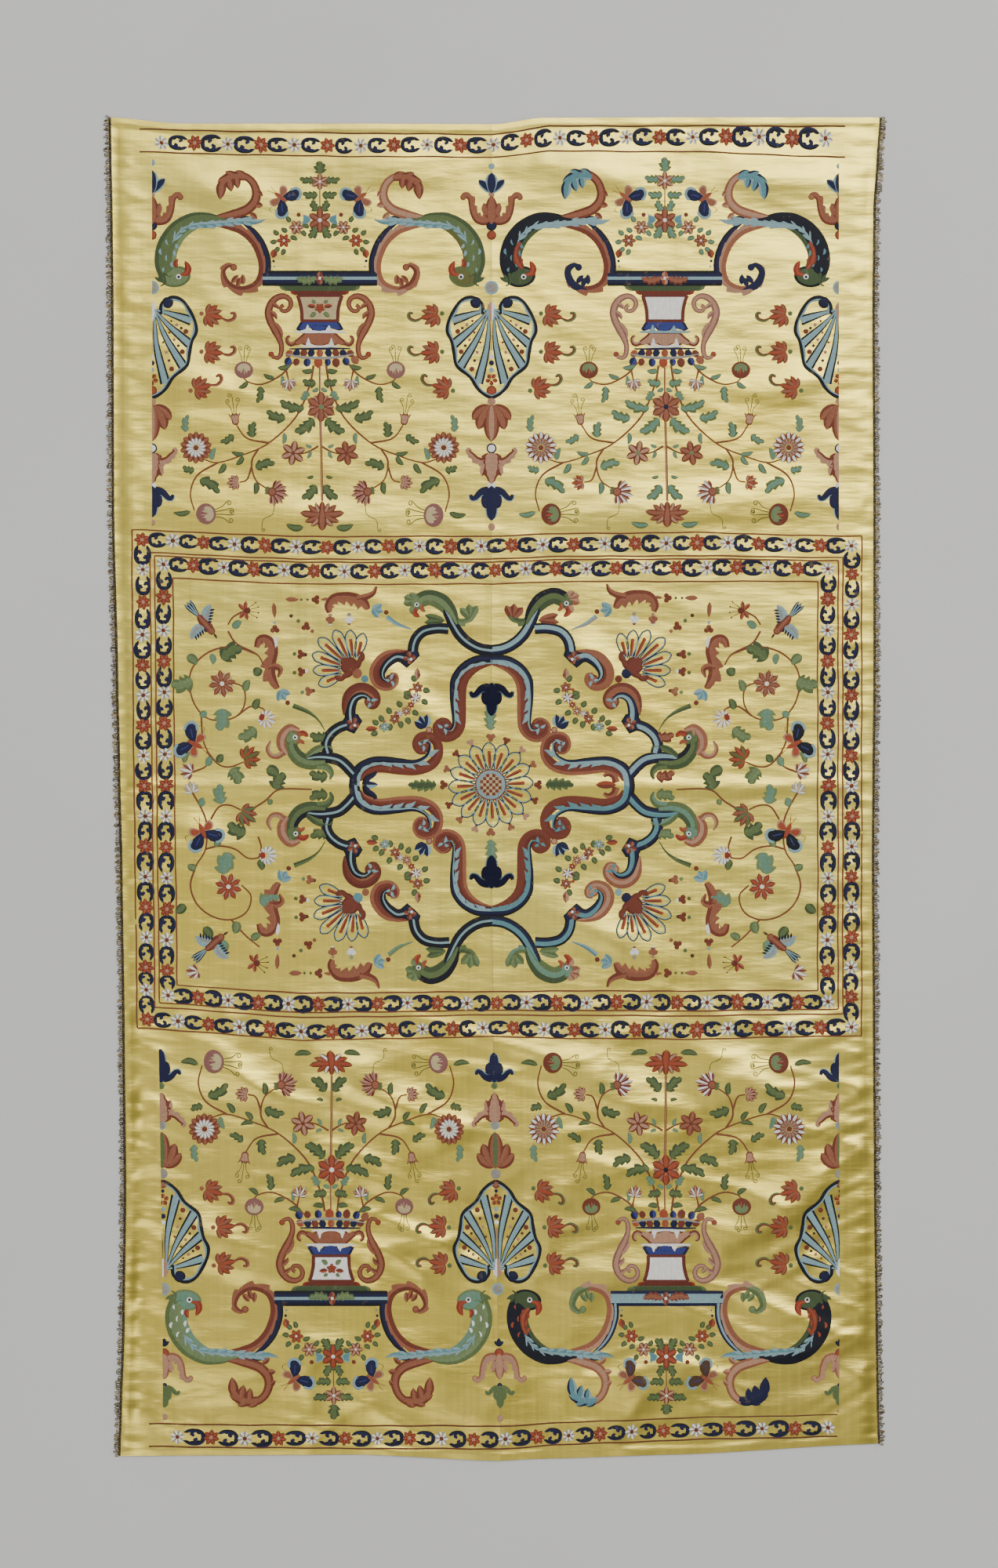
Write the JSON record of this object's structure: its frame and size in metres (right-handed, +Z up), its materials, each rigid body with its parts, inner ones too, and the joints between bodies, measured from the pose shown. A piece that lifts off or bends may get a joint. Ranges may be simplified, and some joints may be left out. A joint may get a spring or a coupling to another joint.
{
  "type": "altar cloth",
  "caption": "Embroidered yellow satin altar cloth of joined loom widths, spread flat, with a narrow looped metal-thread fringe along its long sides.",
  "frame": {"origin": "middle of the cloth's outline, fringes included, on the surface it lies on", "axes": "+X across the cloth towards its right-hand fringe, +Y along it towards its top hem, +Z up from the surface"},
  "size_m": [1.5058, 2.5696, 0.0079],
  "materials": {
    "satin": "silk satin, glossy, woven in narrow widths",
    "metal_thread": "tarnished gilt metal thread, looped and braided",
    "silk_thread": "floss silk embroidery in satin stitch, soft sheen"
  },
  "bodies": {
    "root": {"panel_left": "satin", "panel_right": "satin", "fringe_left": "metal_thread", "fringe_right": "metal_thread"}
  },
  "joints": []
}
